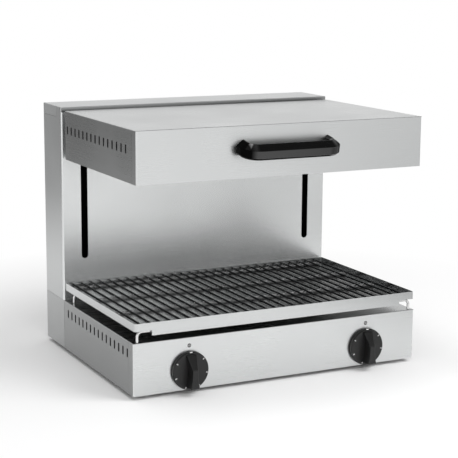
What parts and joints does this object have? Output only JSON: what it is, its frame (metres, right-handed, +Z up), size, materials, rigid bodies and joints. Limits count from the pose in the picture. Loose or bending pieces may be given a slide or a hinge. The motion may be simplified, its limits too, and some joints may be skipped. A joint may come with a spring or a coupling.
{
  "type": "salamander grill",
  "caption": "Counter-top salamander grill: heated hood on a rear column with a counterweight, wire grid on a drip tray, control knobs on a wide base.",
  "frame": {"origin": "middle of the footprint, on the surface that the feet stand on", "axes": "+X to the operator's right, +Y from the front to the back, +Z up"},
  "size_m": [0.6, 0.5375, 0.497],
  "materials": {
    "casing_steel": "fine brushed stainless sheet",
    "inner_steel": "plain folded sheet and plate, not on show",
    "polished_steel": "ground and polished bar",
    "bright_wire": "bright plated wire",
    "tray_steel": "bright pressed stainless sheet",
    "reflector_steel": "bright sheet",
    "element_tube": "dark heat-coloured tube, matt",
    "insulation_mat": "white fibre mat",
    "handle_plastic": "glossy black moulding",
    "knob_plastic": "satin black moulding with white marks",
    "fitting_plastic": "matt dark moulding",
    "foot_rubber": "pale grey moulded foot",
    "lamp_lens": "unlit grey lens",
    "bush_metal": "turned bearing metal",
    "weight_iron": "plain iron block",
    "cable_steel": "stranded steel cable"
  },
  "bodies": {
    "base": {"base_front_panel": "casing_steel", "base_side_left": "casing_steel", "base_side_right": "casing_steel", "base_top_plate": "casing_steel", "base_bottom_pan": "inner_steel", "feet": "foot_rubber", "rear_side_left": "casing_steel", "rear_side_right": "casing_steel", "rear_base_cover": "casing_steel", "backsplash": "casing_steel", "column_side_left": "casing_steel", "column_side_right": "casing_steel", "column_rear_cover": "casing_steel", "column_cap": "casing_steel", "upper_bracket": "inner_steel", "lower_bracket": "inner_steel", "guide_rod_left": "polished_steel", "guide_rod_right": "polished_steel", "weight_guide_rods": "polished_steel", "pulley_brackets": "inner_steel", "pulley_axles": "polished_steel", "cable_wraps": "cable_steel", "cables_to_hood": "cable_steel", "cables_to_weight": "cable_steel", "regulator_left": "fitting_plastic", "regulator_right": "fitting_plastic", "pilot_lamp_left": "lamp_lens", "pilot_lamp_right": "lamp_lens", "cable_gland": "fitting_plastic", "terminal_block": "fitting_plastic"},
    "hood": {"hood_front_panel": "casing_steel", "hood_side_left": "casing_steel", "hood_side_right": "casing_steel", "hood_top_plate": "casing_steel", "hood_rear_panel": "casing_steel", "hood_rim": "casing_steel", "reflector": "reflector_steel", "insulation": "insulation_mat", "heating_element_left": "element_tube", "heating_element_right": "element_tube", "element_supports": "inner_steel", "hood_handle": "handle_plastic", "handle_screws": "polished_steel", "hood_arm_left": "inner_steel", "hood_arm_right": "inner_steel", "carriage": "inner_steel", "slide_bushes": "bush_metal"},
    "counterweight": {"counterweight": "weight_iron"},
    "pulley_left": {"pulley_left": "fitting_plastic"},
    "pulley_right": {"pulley_right": "fitting_plastic"},
    "knob_left": {"knob_left": "knob_plastic", "knob_shaft_left": "polished_steel"},
    "knob_right": {"knob_right": "knob_plastic", "knob_shaft_right": "polished_steel"},
    "tray": {"drip_tray": "tray_steel", "tray_front_legs": "bright_wire", "tray_rear_legs": "bright_wire"},
    "grid": {"wire_grid": "bright_wire"}
  },
  "joints": [
    {"name": "hood_slide", "type": "slide", "parent": "base", "child": "hood", "axis": [0, 0, 1], "range_m": [-0.205, 0], "deforming": ["cables_to_hood"]},
    {"name": "counterweight_slide", "type": "slide", "parent": "base", "child": "counterweight", "axis": [0, 0, 1], "range_m": [0, 0.205], "deforming": ["cables_to_weight"]},
    {"name": "pulley_left_spin", "type": "hinge", "parent": "base", "child": "pulley_left", "pos_m": [-0.12, 0.20975, 0.4505], "axis": [1, 0, 0], "range_deg": [0, 588]},
    {"name": "pulley_right_spin", "type": "hinge", "parent": "base", "child": "pulley_right", "pos_m": [0.12, 0.20975, 0.4505], "axis": [1, 0, 0], "range_deg": [0, 588]},
    {"name": "knob_left_turn", "type": "hinge", "parent": "base", "child": "knob_left", "pos_m": [-0.189, -0.21225, 0.045], "axis": [0, 1, 0], "range_deg": [0, 300]},
    {"name": "knob_right_turn", "type": "hinge", "parent": "base", "child": "knob_right", "pos_m": [0.189, -0.21225, 0.045], "axis": [0, 1, 0], "range_deg": [0, 300]},
    {"name": "tray_slide", "type": "slide", "parent": "base", "child": "tray", "axis": [0, -1, 0], "range_m": [0, 0.16]},
    {"name": "grid_lift", "type": "slide", "parent": "tray", "child": "grid", "axis": [0, 0, 1], "range_m": [0, 0.04]}
  ],
  "couplings": [
    {"joint": "counterweight_slide", "follows": "hood_slide", "ratio": -1},
    {"joint": "pulley_left_spin", "follows": "hood_slide", "rad_per_m": -50},
    {"joint": "pulley_right_spin", "follows": "hood_slide", "rad_per_m": -50}
  ]
}
